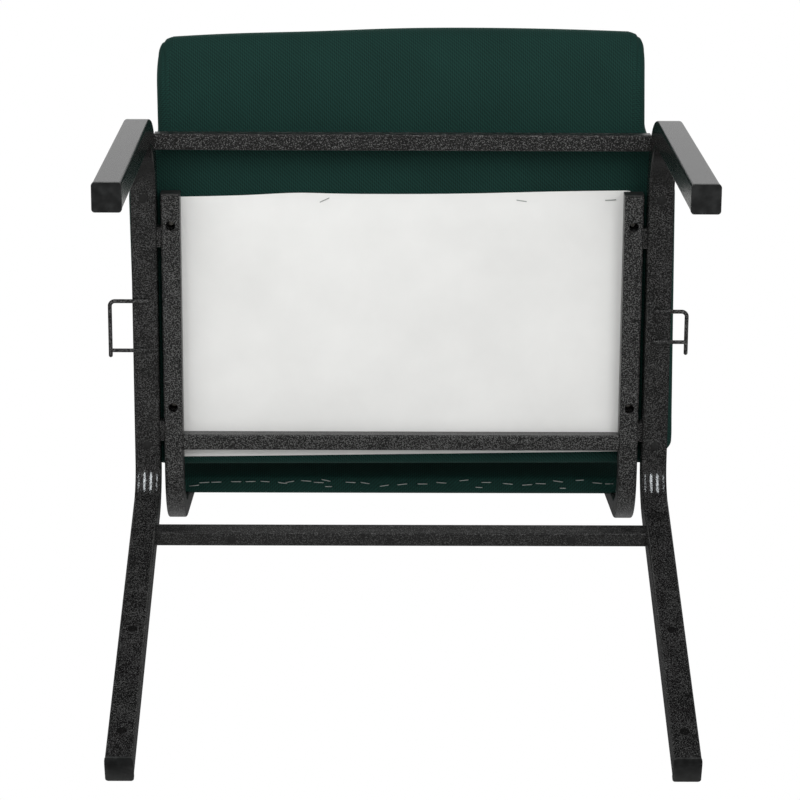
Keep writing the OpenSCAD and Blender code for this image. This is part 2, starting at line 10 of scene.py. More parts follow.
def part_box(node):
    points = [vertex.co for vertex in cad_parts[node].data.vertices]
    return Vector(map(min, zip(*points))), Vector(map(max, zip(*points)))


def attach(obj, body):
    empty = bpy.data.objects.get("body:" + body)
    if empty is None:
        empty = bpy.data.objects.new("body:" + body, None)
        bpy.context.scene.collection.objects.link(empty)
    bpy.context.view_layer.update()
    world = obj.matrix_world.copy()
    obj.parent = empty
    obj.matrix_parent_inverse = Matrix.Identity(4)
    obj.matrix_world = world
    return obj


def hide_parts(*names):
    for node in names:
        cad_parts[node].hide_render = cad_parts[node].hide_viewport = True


bl_info = {
    "name": "Stacking church chair",
    "version": (1, 0, 0),
    "blender": (4, 5, 0),
    "location": "3D View > Sidebar > Church Chair",
    "description": "Dresses the chair's frame with coated tube, upholstery, sheet and fittings",
    "category": "Object",
}

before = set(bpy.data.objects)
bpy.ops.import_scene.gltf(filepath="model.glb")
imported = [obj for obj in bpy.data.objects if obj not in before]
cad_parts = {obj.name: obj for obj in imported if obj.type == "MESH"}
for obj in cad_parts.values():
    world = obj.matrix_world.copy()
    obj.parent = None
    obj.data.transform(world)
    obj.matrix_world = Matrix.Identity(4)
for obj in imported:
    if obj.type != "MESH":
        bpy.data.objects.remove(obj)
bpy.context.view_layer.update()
MM = 0.001


def node_box(node):
    """Lowest and highest corner of a CAD node, in millimetres."""
    low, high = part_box(node)
    return np.array(low) / MM, np.array(high) / MM


# Chair coordinates: millimetres, x from the middle of the frame, y behind the front legs'
# centre line, z above the floor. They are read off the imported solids.
LEFT_LOW, LEFT_HIGH = node_box("left_leg_frame")
RIGHT_LOW, RIGHT_HIGH = node_box("right_leg_frame")
GLIDE_LOW, GLIDE_HIGH = node_box("front_left_glide")
MID_X = (LEFT_LOW[0] + RIGHT_HIGH[0]) / 2
FRONT_Y = (GLIDE_LOW[1] + GLIDE_HIGH[1]) / 2
TUBE = LEFT_HIGH[0] - LEFT_LOW[0]
LEG_X = (RIGHT_LOW[0] + RIGHT_HIGH[0]) / 2 - MID_X
RAIL_TOP = LEFT_HIGH[2]
CUSHION_LOW, CUSHION_HIGH = node_box("seat_cushion")
SEAT_BACK = CUSHION_HIGH[1] - FRONT_Y
UPRIGHT_LOW, UPRIGHT_HIGH = node_box("left_seat_back_tube")
SEAT_TUBE = UPRIGHT_HIGH[0] - UPRIGHT_LOW[0]
SEAT_TUBE_X = -(UPRIGHT_LOW[0] + UPRIGHT_HIGH[0]) / 2 + MID_X
CAP_SIDE = GLIDE_HIGH[0] - GLIDE_LOW[0]

# Sizes that no box gives, as the solids have them
RAIL_RUN = 375.0
REAR_SLOPE = math.radians(20.5)
FRONT_BEND = 70.0
REAR_BEND = 46.0
CAP_THICK = 4.0
TOE_DROP = 2.0
LEG_CORNER = 2.5
CUSHION_OVERHANG = 7.5

# The camera's target, in chair millimetres, and its sensor
AIM = (0.0, 277.7, 378.0)
SENSOR_MM = 36.0
FLOOR_HALF_MM = 6000.0


def to_frame(points):
    """Chair millimetres to the frame's metres: add the frame's place, divide by 1000."""
    return (np.asarray(points, float) + [MID_X, FRONT_Y, 0.0]) * MM


def srgb(code):
    """Hex colour code to three sRGB values from 0 to 1."""
    return tuple(int(code[k:k + 2], 16) / 255 for k in (0, 2, 4))


def linear(colour):
    """sRGB, as a hex code or three values from 0 to 1, to linear RGBA."""
    c = np.asarray(srgb(colour) if isinstance(colour, str) else colour, float)
    low = c / 12.92
    high = ((c + 0.055) / 1.055) ** 2.4
    return (*np.where(c <= 0.04045, low, high), 1.0)


def colour_setting(name, description, code):
    """A colour property in sRGB, with a hex code as its default."""
    return FloatVectorProperty(name=name, description=description, subtype="COLOR_GAMMA", size=3,
                               default=srgb(code), min=0.0, max=1.0)


def length_setting(name, description, default):
    """A length property in metres."""
    return FloatProperty(name=name, description=description, subtype="DISTANCE", unit="LENGTH",
                         default=default)


class FrameCoat(bpy.types.PropertyGroup):
    """The frame's vein powder coat and the flutes of its bends"""

    speck_mm: FloatProperty(
        name="Speck spacing", description="Distance between the specks of the vein coat, in mm",
        default=2.1, min=0.5, max=8.0)
    flute_depth_mm: FloatProperty(
        name="Flute depth", description="Depth of the flutes inside the rear bends, in mm",
        default=1.3, min=0.0, max=3.0)
    flutes: IntProperty(
        name="Flutes", description="Ridges across the inside of a rear bend", default=4,
        min=1, max=8)
    black: colour_setting("Coat colour", "Colour of the coat between its specks", "070707")
    speck: colour_setting("Speck colour", "Colour of the coat's specks", "707070")


class Upholstery(bpy.types.PropertyGroup):
    """The twill and its seams"""

    green: colour_setting("Fabric colour", "Colour of the twill", "0E2E29")
    twill_mm: FloatProperty(
        name="Twill spacing", description="Distance between the twill's diagonals, in mm",
        default=2.8, min=0.5, max=6.0)
    seam_depth_mm: FloatProperty(
        name="Seam depth", description="Depth of the sewn seams, in mm", default=1.5,
        min=0.0, max=4.0)


class SeatTurn(bpy.types.PropertyGroup):
    """How the seat sits on its screws"""

    turn: FloatProperty(
        name="Seat turn", description="How far the seat is screwed on askew, right side forward",
        subtype="ANGLE", unit="ROTATION", default=0.0148)
    shift_mm: FloatProperty(
        name="Seat shift", description="How far the seat's middle lies to the right, in mm",
        default=-0.9, min=-4.0, max=4.0)
    rear_mm: FloatProperty(
        name="Rear edge", description="How far the low rear edge bulges back, in mm",
        default=4.2, min=0.0, max=6.0)


class SheetLook(bpy.types.PropertyGroup):
    """The sheet under the seat"""

    sag_mm: FloatProperty(
        name="Sag", description="How far the sheet hangs between the tubes, in mm",
        default=3.0, min=0.0, max=8.0)
    corner_mm: FloatProperty(
        name="Cut corner", description="How much is cut off the right front corner, in mm",
        default=6.0, min=0.0, max=20.0)
    white: colour_setting("Sheet colour", "Colour of the sheet under the seat", "F6F6F5")


class StageSettings(bpy.types.PropertyGroup):
    """The camera, lights and surround"""

    lens_mm: FloatProperty(
        name="Lens", description="Focal length of the camera, in mm", default=130.5,
        min=20, max=300)
    tilt: FloatProperty(
        name="Tilt", description="Angle of the camera's view above the horizon",
        subtype="ANGLE", unit="ROTATION", default=math.radians(75.0))
    distance: length_setting("Distance", "Distance from the camera to the rails", 2.891)
    side_step: length_setting(
        "Side step", "How far the camera stands to the left of the chair's middle", 0.024)
    aim_left: length_setting(
        "Aim", "How far to the left of the chair's middle the camera aims", 0.0015)
    roll: FloatProperty(
        name="Roll", description="Turn of the camera about its view", subtype="ANGLE",
        unit="ROTATION", default=0.0027)
    front_light: FloatProperty(
        name="Front light", description="Strength of the light before the chair, in W",
        default=12.0, min=0.0)
    low_light: FloatProperty(
        name="Low light", description="Strength of the wide light below and before the chair, in W",
        default=46.0, min=0.0)
    top_light: FloatProperty(
        name="Top light", description="Strength of the light over the chair, in W",
        default=24.0, min=0.0)
    room: FloatProperty(
        name="Room", description="What gloss shows of the dim room in front, where 1 is white",
        default=0.08, min=0.0, max=1.0)
    surround: FloatProperty(
        name="Surround", description="Strength of the white surround's light", default=0.5,
        min=0.0)


def mesh_object(name, patches, merge_mm=0.01, layer="cloth"):
    """One object from surface patches.

    Each patch is (points, uv, wrap): points is rows by columns by 3 in chair millimetres,
    uv the same by 2, in metres of cloth, or None, and wrap closes the columns on the first.
    Corner k of a face at row i and column j is grid point (i or i+1, j or j+1).
    """
    verts, faces, uvs, start = [], [], [], 0
    for points, uv, wrap in patches:
        rows, cols = points.shape[:2]
        faces_across = cols if wrap else cols - 1
        i, j = np.meshgrid(np.arange(rows - 1), np.arange(faces_across), indexing="ij")
        k = (j + 1) % cols
        here, below = i * cols, (i + 1) * cols
        corners = np.stack([here + j, here + k, below + k, below + j], -1)
        verts.append(points.reshape(-1, 3))
        faces.append(corners.reshape(-1, 4) + start)
        if uv is None:
            uv = np.zeros((rows, cols + 1, 2))
        if uv.shape[1] == cols:
            uv = np.concatenate([uv, uv[:, :1]], axis=1)
        corner_uv = np.stack([uv[i, j], uv[i, j + 1], uv[i + 1, j + 1], uv[i + 1, j]], -2)
        uvs.append(corner_uv.reshape(-1, 2))
        start += rows * cols
    verts = to_frame(np.concatenate(verts))
    faces = np.concatenate(faces)
    mesh = bpy.data.meshes.new(name)
    mesh.vertices.add(len(verts))
    mesh.vertices.foreach_set("co", verts.astype(np.float32).ravel())
    mesh.loops.add(faces.size)
    mesh.loops.foreach_set("vertex_index", faces.astype(np.int32).ravel())
    mesh.polygons.add(len(faces))
    mesh.polygons.foreach_set("loop_start", np.arange(0, faces.size, 4, dtype=np.int32))
    mesh.uv_layers.new(name=layer).data.foreach_set(
        "uv", np.concatenate(uvs).astype(np.float32).ravel())
    mesh.update(calc_edges=True)
    mesh.validate()
    work = bmesh.new()
    work.from_mesh(mesh)
    bmesh.ops.remove_doubles(work, verts=work.verts, dist=merge_mm * MM)
    bmesh.ops.recalc_face_normals(work, faces=work.faces)
    work.to_mesh(mesh)
    work.free()
    mesh.shade_smooth()
    mesh.set_sharp_from_angle(angle=math.radians(50))
    piece = bpy.data.objects.new(name, mesh)
    bpy.context.scene.collection.objects.link(piece)
    return piece


def paint(piece, material):
    """Gives a piece, or a CAD node, one material."""
    piece.data.materials.clear()
    piece.data.materials.append(material)


def place(piece, material, slot, *nodes):
    """Finishes a piece: paints it, hides the nodes that it stands for, and lets it ride."""
    paint(piece, material)
    if nodes:
        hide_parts(*nodes)
    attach(piece, "root")
    return piece


def ease(t):
    """Smooth step: t*t*(3 - 2t) between 0 and 1, flat outside."""
    t = np.clip(t, 0.0, 1.0)
    return t * t * (3 - 2 * t)


def resample(path, count):
    """count points along a polyline at even distances along it."""
    path = np.asarray(path, float)
    along = np.concatenate([[0], np.cumsum(np.linalg.norm(np.diff(path, axis=0), axis=1))])
    want = np.linspace(0, along[-1], count)
    return np.stack([np.interp(want, along, path[:, k]) for k in range(path.shape[1])], -1)


def heading(line):
    """Unit steps along a polyline in a plane, one for each of its points."""
    ahead = np.gradient(line, axis=0)
    return ahead / np.linalg.norm(ahead, axis=1, keepdims=True)


def round_corners(corners, radii, steps=10):
    """Polyline through corners with each inner corner replaced by an arc.

    For a corner with half-angle h the arc touches the sides at r/tan(h) from the corner and
    its centre lies at r/sin(h) on the bisector.
    """
    out = [np.asarray(corners[0], float)]
    for a, b, c, r in zip(corners, corners[1:], corners[2:], radii):
        a, b, c = (np.asarray(p, float) for p in (a, b, c))
        u, v = (a - b) / np.linalg.norm(a - b), (c - b) / np.linalg.norm(c - b)
        half = math.acos(np.clip(u @ v, -1, 1)) / 2
        centre = b + (u + v) / np.linalg.norm(u + v) * r / math.sin(half)
        start, end = b + u * r / math.tan(half), b + v * r / math.tan(half)
        turn = math.pi - 2 * half
        t = np.linspace(0, 1, steps + 1)[:, None]
        arc = (np.sin((1 - t) * turn) * (start - centre) + np.sin(t * turn) * (end - centre))
        out.extend(centre + arc / math.sin(turn))
    out.append(np.asarray(corners[-1], float))
    return np.array(out)


def add_node(tree, kind, inputs=None, stops=(), **settings):
    """Adds one node, sets its properties, and sets or links its inputs by name or number.

    kind is the type's name without "ShaderNode", a node given as a value stands for its first
    output, and stops are a colour ramp's (position, colour) pairs.
    """
    node = tree.nodes.new("ShaderNode" + kind)
    for key, value in settings.items():
        setattr(node, key, value)
    for key, value in (inputs or {}).items():
        if isinstance(value, bpy.types.Node):
            value = value.outputs[0]
        if isinstance(value, bpy.types.NodeSocket):
            tree.links.new(value, node.inputs[key])
        else:
            node.inputs[key].default_value = value
    if stops:
        ramp = node.color_ramp.elements
        while len(ramp) < len(stops):
            ramp.new(0.5)
        for element, (position, colour) in zip(ramp, stops):
            element.position = position
            element.color = colour
    return node


def shades(colour, *stops):
    """Colour ramp stops from (position, share) pairs: one colour times each share."""
    base = np.array(linear(colour))
    return [(position, tuple(base * [*np.broadcast_to(share, 3), 1]))
            for position, share in stops]


def new_material(name):
    """An empty material and its node tree."""
    material = bpy.data.materials.new(name)
    material.use_nodes = True
    material.node_tree.nodes.clear()
    return material, material.node_tree


def finished(material, shader):
    """The material with a shader on its surface."""
    add_node(material.node_tree, "OutputMaterial", {"Surface": shader})
    return material


def vein_powder_coat(name, black, speck, speck_mm, amount, roughness, cloudy, sparse,
                     with_crest_sheen=False):
    """Black vein powder coat on steel tube, baked on over a coarse texture.

    It gives the eye small grey wriggling specks on near black, each a low bump that
    catches the light, with a soft gloss over all of it. On a piece with the crest map, the
    map's first value paints a highlight on the crests of a pressed bend: a bright metal colour,
    half metallic and with low roughness. Its second value is how far the veins have run out
    into smooth black, as on the drawn front legs. amount is the specks' share of the speck
    colour, cloudy how far they gather in clouds, and sparse how far they thin out.
    """
    material, tree = new_material(name)
    coords = add_node(tree, "TexCoord").outputs["Object"]
    vein = add_node(tree, "TexNoise", {
        "Vector": coords, "Scale": 2 / (speck_mm * MM), "Detail": 1.0,
        "Roughness": 0.5, "Distortion": 0.5})
    cloud = add_node(tree, "TexNoise", {
        "Vector": coords, "Scale": 0.1 / (speck_mm * MM), "Detail": 2.0})
    both = add_node(tree, "Mix", {
        "Factor": cloudy, 2: vein, 3: cloud}, data_type="FLOAT")
    base = np.array(linear(black))
    bright = base + (np.array(linear(speck)) - base) * amount
    colour = add_node(tree, "ValToRGB", {"Fac": both}, [
        (0.45 + sparse, tuple(base * [0.5, 0.5, 0.5, 1])), (0.52 + sparse, tuple(base)),
        (0.55 + sparse, tuple(base + (bright - base) * 0.8)), (0.62 + sparse, tuple(bright))])
    relief, metallic = 0.5 * amount, 0.0
    # Painted highlight: the crest map's X, times the veins, turns the coat to a bright, half
    # metallic, less rough colour on the flute crests. Its Y runs the veins out into smooth black on
    # the drawn front legs.
    if with_crest_sheen:
        crest_sheen_and_drawn = add_node(tree, "SeparateXYZ", {0: add_node(tree, "UVMap", uv_map="crest_sheen_and_drawn")})
        drawn = add_node(tree, "Math", {0: crest_sheen_and_drawn.outputs["Y"], 1: 0.75}, operation="MULTIPLY")
        veined = add_node(tree, "Mix", {
            "Factor": drawn, 6: colour, 7: tuple(base * [1.6, 1.6, 1.6, 1])}, data_type="RGBA")
        relief = add_node(tree, "MapRange", {
            "Value": crest_sheen_and_drawn.outputs["Y"], "To Min": relief, "To Max": 0.12})
        patchy = add_node(tree, "Math", {0: crest_sheen_and_drawn.outputs["X"], 1: vein}, operation="MULTIPLY")
        painted_glint = add_node(tree, "MapRange", {"Value": patchy, "From Min": 0.33, "From Max": 0.53})
        metallic = add_node(tree, "Math", {0: painted_glint, 1: 0.5}, operation="MULTIPLY")
        # E9EEF2 is the painted highlight's colour on the crests.
        glint_colour = add_node(tree, "Mix", {
            "Factor": painted_glint, 6: veined.outputs[2], 7: linear("E9EEF2")}, data_type="RGBA")
        colour = glint_colour.outputs[2]
        roughness = add_node(tree, "MapRange", {
            "Value": painted_glint, "To Min": roughness, "To Max": 0.2})
    bump = add_node(tree, "Bump", {"Height": vein, "Strength": relief, "Distance": 0.35 * MM})
    shader = add_node(tree, "BsdfPrincipled", {
        "Base Color": colour, "Metallic": metallic, "Roughness": roughness, "IOR": 1.5,
        "Specular IOR Level": 0.28, "Normal": bump})
    return finished(material, shader)


def grained(name, colours, stain, grain, relief, inputs, stretch=None):
    """A finish with one noise in its colour and one in its relief.

    colours are ramp stops, stain and grain the noises as (spacing in mm, detail, roughness),
    relief is (strength, depth in mm), and inputs are further settings of the shader, where a
    roughness given as a pair runs from one to the other with the stain.
    """
    material, tree = new_material(name)
    coords = add_node(tree, "TexCoord").outputs["Object"]
    if stretch:
        coords = add_node(tree, "Mapping", {"Vector": coords, "Scale": stretch})
    stain, grain = (add_node(tree, "TexNoise", {
        "Vector": coords, "Scale": 1 / (mm * MM), "Detail": detail, "Roughness": rough})
        for mm, detail, rough in (stain, grain))
    roughness = inputs["Roughness"]
    if isinstance(roughness, tuple):
        roughness = add_node(tree, "MapRange", {
            "Value": stain, "From Min": 0.3, "From Max": 0.7, "To Min": roughness[0],
            "To Max": roughness[1]})
    bump = add_node(tree, "Bump", {
        "Height": grain, "Strength": relief[0], "Distance": relief[1] * MM})
    return finished(material, add_node(tree, "BsdfPrincipled", {
        **inputs, "Base Color": add_node(tree, "ValToRGB", {"Fac": stain}, colours),
        "Roughness": roughness, "Normal": bump}))


def moulded_polyethylene(name, colour):
    """Injection-moulded polyethylene: a waxy dark grey with faint flow marks and scuffs."""
    return grained(name, shades(colour, (0.35, 0.7), (0.5, 1), (0.68, 1.7)), (9, 4.0, 0.5),
                   (0.6, 1.0, 0.5), (0.15, 0.05),
                   {"Roughness": (0.45, 0.6), "IOR": 1.51, "Specular IOR Level": 0.35})


def moulded_rubber(name, colour):
    """Moulded rubber bumper: deep matte black with a fine grain."""
    return grained(name, shades(colour, (0.3, 0.7), (0.7, 1.3)), (0.8, 3.0, 0.5),
                   (0.8, 3.0, 0.5), (0.2, 0.05),
                   {"Roughness": 0.75, "IOR": 1.52, "Specular IOR Level": 0.12})


def nonwoven_sheet(name, white):
    """Spun-bonded sheet, its white side down: paper-smooth with faint fibre clouds."""
    return grained(name, shades(white, (0.3, 0.95), (0.7, 1)), (55, 3.0, 0.5), (1.5, 4.0, 0.7),
                   (0.12, 0.1), {"Roughness": 0.62, "IOR": 1.45, "Specular IOR Level": 0.3})


def poplar_plywood(name):
    """Raw poplar plywood: pale yellow-brown with drawn-out grain and darker glue lines."""
    colours = [(0.3, linear("A67F52")), (0.5, linear("C9A272")), (0.7, linear("DDBD8E"))]
    return grained(name, colours, (6, 6.0, 0.6), (6, 6.0, 0.6), (0.2, 0.2),
                   {"Roughness": 0.7, "IOR": 1.5}, stretch=(0.08, 1.0, 1.0))


def polyester_twill(name, green, twill_mm):
    """Woven polyester twill, piece-dyed green, pulled tight over foam.

    It gives the eye fine slanting ribs, slightly uneven yarns, and a soft pale sheen
    where the surface turns away.
    """
    material, tree = new_material(name)
    cloth = add_node(tree, "UVMap", uv_map="cloth")
    slant = add_node(tree, "Mapping", {
        "Vector": cloth, "Rotation": (0.0, 0.0, math.radians(-47))})
    ribs = add_node(tree, "TexWave", {
        "Vector": slant, "Scale": math.pi / 10 / (twill_mm * MM),
        "Distortion": 0.8, "Detail": 1.0, "Detail Scale": 4.0},
        wave_type="BANDS", bands_direction="X", wave_profile="SIN")
    stitches = add_node(tree, "TexWave", {
        "Vector": cloth, "Scale": math.pi / 10 / (twill_mm * 0.75 * MM),
        "Distortion": 0.5, "Detail": 1.0}, wave_type="BANDS", bands_direction="X",
        wave_profile="SIN")
    dots = add_node(tree, "Mix", {
        "Factor": 0.5, 2: ribs.outputs["Fac"], 3: stitches.outputs["Fac"]}, data_type="FLOAT")
    yarn = add_node(tree, "TexNoise", {
        "Vector": cloth, "Scale": 1 / (0.9 * MM), "Detail": 2.0, "Roughness": 0.7})
    shade = add_node(tree, "TexNoise", {
        "Vector": cloth, "Scale": 1 / (60 * MM), "Detail": 2.0})
    height = add_node(tree, "Mix", {
        "Factor": 0.35, 2: dots, 3: yarn}, data_type="FLOAT")
    mixed = add_node(tree, "Mix", {
        "Factor": 0.2, 2: height, 3: shade}, data_type="FLOAT")
    ramp = add_node(tree, "ValToRGB", {"Fac": mixed}, shades(
        green, (0.3, (0.48, 0.54, 0.54)), (0.5, 1), (0.7, (1.65, 1.42, 1.42))))
    bump = add_node(tree, "Bump", {
        "Height": height, "Strength": 0.5, "Distance": 0.3 * MM})
    shader = add_node(tree, "BsdfPrincipled", {
        "Base Color": ramp, "Roughness": 0.85, "IOR": 1.45,
        "Specular IOR Level": 0.2, "Sheen Weight": 0.12, "Sheen Roughness": 0.4,
        "Sheen Tint": linear("3F8F7C"), "Normal": bump})
    return finished(material, shader)


def drawn_steel(name, colour, roughness):
    """Galvanised or zinc-plated steel: a grey metal with fine drawing marks."""
    material, tree = new_material(name)
    coords = add_node(tree, "TexCoord").outputs["Object"]
    marks = add_node(tree, "TexNoise", {
        "Vector": coords, "Scale": 1 / (0.7 * MM), "Detail": 3.0})
    rough = add_node(tree, "MapRange", {
        "Value": marks, "From Min": 0.3, "From Max": 0.7,
        "To Min": roughness - 0.08, "To Max": roughness + 0.08})
    shader = add_node(tree, "BsdfPrincipled", {
        "Base Color": linear(colour), "Metallic": 1.0, "Roughness": rough})
    return finished(material, shader)


def matte_paper(name, colour):
    """Pale studio paper for the floor: flat and even, with a faint tooth.

    Seen from below it lets the view and light through, and between 1.5 and 2.7 m from the
    chair it fades into the white surround, so no edge or horizon shows.
    """
    material, tree = new_material(name)
    coords = add_node(tree, "TexCoord").outputs["Object"]
    tooth = add_node(tree, "TexNoise", {
        "Vector": coords, "Scale": 1 / (3 * MM), "Detail": 2.0})
    bump = add_node(tree, "Bump", {
        "Height": tooth, "Strength": 0.05, "Distance": 0.1 * MM})
    diffuse = add_node(tree, "BsdfDiffuse", {
        "Color": linear(colour), "Normal": bump})
    clear = add_node(tree, "BsdfTransparent")
    side = add_node(tree, "NewGeometry")
    path = add_node(tree, "LightPath")
    either = add_node(tree, "Math", {
        0: side.outputs["Backfacing"], 1: path.outputs["Is Shadow Ray"]}, operation="MAXIMUM")
    away = add_node(tree, "VectorMath", {0: coords},
                    operation="LENGTH")
    fade = add_node(tree, "MapRange", {
        "Value": away.outputs["Value"], "From Min": 1.5, "From Max": 2.7},
        interpolation_type="SMOOTHSTEP")
    gone = add_node(tree, "Math", {
        0: either, 1: fade}, operation="MAXIMUM")
    mix = add_node(tree, "MixShader", {
        "Fac": gone, 1: diffuse, 2: clear})
    return finished(material, mix)


MADE = {}


def finish_for(make, name, *arguments):
    """Each finish is made once and shared by its pieces."""
    if name not in MADE:
        MADE[name] = make(name, *arguments)
    return MADE[name]


# Share of the speck colour that the specks reach, and how far they thin out
TUBE_COATS = {
    "black vein powder coat": (0.7, 0.008),
    "black vein powder coat on wire": (0.7, 0.02),
    # Painted light: the front crossbar's copy has fewer but brighter specks, painted shade with
    # painted glints, and the brace's copy has fewer, dimmer ones, painted shade.
    "black vein powder coat, painted shade and glints": (0.9, 0.055),
    "black vein powder coat, painted shade": (0.4, 0.03),
}


def tube_coat(scene, name):
    """The vein coat of a straight or bent tube, by its name in TUBE_COATS."""
    s = scene.chair_coat
    amount, sparse = TUBE_COATS[name]
    return finish_for(vein_powder_coat, name, s.black, s.speck, s.speck_mm, amount, 0.34, 0.08,
                      sparse)


def leg_coat(scene):
    """The thinner coat of the leg tubes, with a painted highlight on the crests inside their rear
    bends.
    """
    s = scene.chair_coat
    return finish_for(vein_powder_coat, "black vein powder coat, thin", s.black, s.speck,
                      s.speck_mm * 0.85, 0.4, 0.27, 0.14, 0.018, True)


def twill(scene):
    """The green twill of seat and back."""
    s = scene.chair_upholstery
    return finish_for(polyester_twill, "green polyester twill", s.green, s.twill_mm)


def paint_nodes(material, *nodes):
    """Gives CAD nodes, which stay as they are, one material."""
    for node in nodes:
        paint(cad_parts[node], material)


def square_profile(side, corner, face_steps, corner_steps):
    """Square with round corners, as (across, outward) points, going round once.

    A corner's points are centre + corner*(cos t, sin t) for a quarter turn; a face's points
    lie at even distances between two corners.
    """
    inner = side / 2 - corner
    points = []
    for k in range(4):
        t = (math.radians(90 * k - 45) + np.radians(np.linspace(-45, 45, corner_steps + 1))
             + math.pi / 2)
        middle = math.radians(90 * k + 45)
        cx, cy = np.sign(math.cos(middle)), np.sign(math.sin(middle))
        arc = np.stack([cx * inner + corner * np.cos(t), cy * inner + corner * np.sin(t)], -1)
        points.append(arc)
        nxt = np.array([-cy * inner, cx * inner]) + corner * np.array(
            [math.cos(t[-1]), math.sin(t[-1])])
        face = arc[-1] + (nxt - arc[-1]) * np.linspace(0, 1, face_steps + 1)[1:-1, None]
        points.append(face)
    return np.concatenate(points)


def leg_centre_line(bend_steps=36):
    """Leg frame's centre line in the side plane, with the rear bend's share at each point.

    Down the front leg, round the front bend, along the rail, round the rear bend, down the
    sloping leg. A bend is an arc about its centre, r below the rail's centre line.
    """
    rail_z = RAIL_TOP - TUBE / 2
    turn = math.pi / 2 - REAR_SLOPE
    tangent = REAR_BEND * math.tan(turn / 2)
    rail_end = RAIL_RUN - tangent
    t = np.linspace(0, 1, bend_steps + 1)
    foot = np.array([[0, CAP_THICK], [0, (rail_z - FRONT_BEND) / 2]])
    first = np.stack([FRONT_BEND - FRONT_BEND * np.cos(t * math.pi / 2),
                      rail_z - FRONT_BEND + FRONT_BEND * np.sin(t * math.pi / 2)], -1)
    rail = np.stack([np.linspace(FRONT_BEND, rail_end, 7), np.full(7, rail_z)], -1)
    second = np.stack([rail_end + REAR_BEND * np.sin(t * turn),
                       rail_z - REAR_BEND + REAR_BEND * np.cos(t * turn)], -1)
    low_end = rail_z + TOE_DROP - CAP_SIDE / 2 * math.sin(REAR_SLOPE)
    length = low_end / math.cos(REAR_SLOPE) - tangent - CAP_THICK
    run = np.linspace(0, length, 9)[1:, None]
    last = second[-1] + run * np.array([math.sin(REAR_SLOPE), -math.cos(REAR_SLOPE)])
    share = [np.zeros(len(foot) + len(first) + len(rail) - 2), t, np.zeros(len(last))]
    return np.concatenate([foot, first, rail[1:-1], second, last]), np.concatenate(share)


def leg_frame_surface(side, settings):
    """Square tube carried along the leg's centre line, fluted inside the rear bend.

    A point is centre + across*X + outward*N, where N is the line's normal towards the inside
    of the bends. On the inside face it sinks by depth*E*(1 - cos(2 pi k a))/2, with a the
    share across the face, k the number of flutes and E = sin(pi share)^0.6 of the bend.
    The second grid is the map of painted highlight and drawn tube: first a painted highlight,
    1 on the middle crests between the flutes and less on the outer ones, and then 1 on the
    front leg, falling to 0 over the front bend, where the coat's veins begin.
    """
    line, share = leg_centre_line()
    ahead = heading(line)
    inward = np.stack([ahead[:, 1], -ahead[:, 0]], -1)
    profile = square_profile(TUBE, LEG_CORNER, 48, 6)
    across, outward = profile[:, 0], profile[:, 1]
    inside = ease((outward - TUBE / 2 + LEG_CORNER) / 2.0)
    envelope = np.sin(math.pi * np.clip(share, 0, 1)) ** 0.6
    wave = (1 + np.cos(2 * math.pi * settings.flutes * (across / TUBE + 0.5))) / 2
    sink = settings.flute_depth_mm * envelope[:, None] * (inside * wave)[None, :]
    reach = outward[None, :] - sink
    y = line[:, :1] + inward[:, :1] * reach
    z = line[:, 1:] + inward[:, 1:] * reach
    x = side * LEG_X + np.broadcast_to(across[None, :], y.shape)
    # Painted highlight on the crests: it fades in and out along the bend and is weaker on the outer
    # flutes.
    sheen_along_bend = ease((share - 0.05) / 0.3) * ease((0.98 - share) / 0.35)
    middle = 1 - 0.55 * (across / TUBE * 2) ** 2
    crest_sheen_and_drawn = sheen_along_bend[:, None] * (inside * middle * (1 - wave) ** 0.6)[None, :]
    smooth = np.broadcast_to(1 - ease((line[:, :1] - FRONT_BEND * 0.55) / 30), crest_sheen_and_drawn.shape)
    return np.stack([x, y, z], -1), np.stack([crest_sheen_and_drawn, smooth], -1)


def end_cap(ring):
    """Closes a ring of points with a disc: rows shrink from the ring to its middle."""
    middle = ring.mean(0)
    return np.stack([ring, middle + (ring - middle) * 0.5, np.broadcast_to(middle, ring.shape)])


class CHAIR_OT_leg_frames(bpy.types.Operator):
    """Bends the two leg frames from square tube, with the flutes inside their rear bends"""
    bl_idname = "chair.leg_frames"
    bl_label = "Leg frames"

    def execute(self, context):
        for side, node in ((-1, "left_leg_frame"), (1, "right_leg_frame")):
            skin, crest_sheen_and_drawn = leg_frame_surface(side, context.scene.chair_coat)
            piece = mesh_object(node.replace("frame", "tube"), [
                (skin, crest_sheen_and_drawn, True), (end_cap(skin[0]), None, True),
                (end_cap(skin[-1]), None, True)], layer="crest_sheen_and_drawn")
            place(piece, leg_coat(context.scene), "frame_coat", node)
        return {"FINISHED"}


class CHAIR_OT_tube_finish(bpy.types.Operator):
    """Coats the seat and back tubes, crossbars, brace and spacers"""
    bl_idname = "chair.tube_finish"
    bl_label = "Tubes and crossbars"

    def execute(self, context):
        for name, nodes in (
                ("black vein powder coat", (
                    "left_seat_back_tube", "right_seat_back_tube", "tube_spacers",
                    "rear_seat_crossbar", "back_crossbar")),
                # The crossbar's and brace's copies of the coat carry painted shade and painted
                # glints.
                ("black vein powder coat, painted shade and glints", ("front_crossbar",)),
                ("black vein powder coat, painted shade", ("rear_leg_brace",))):
            paint_nodes(tube_coat(context.scene, name), *nodes)
        return {"FINISHED"}


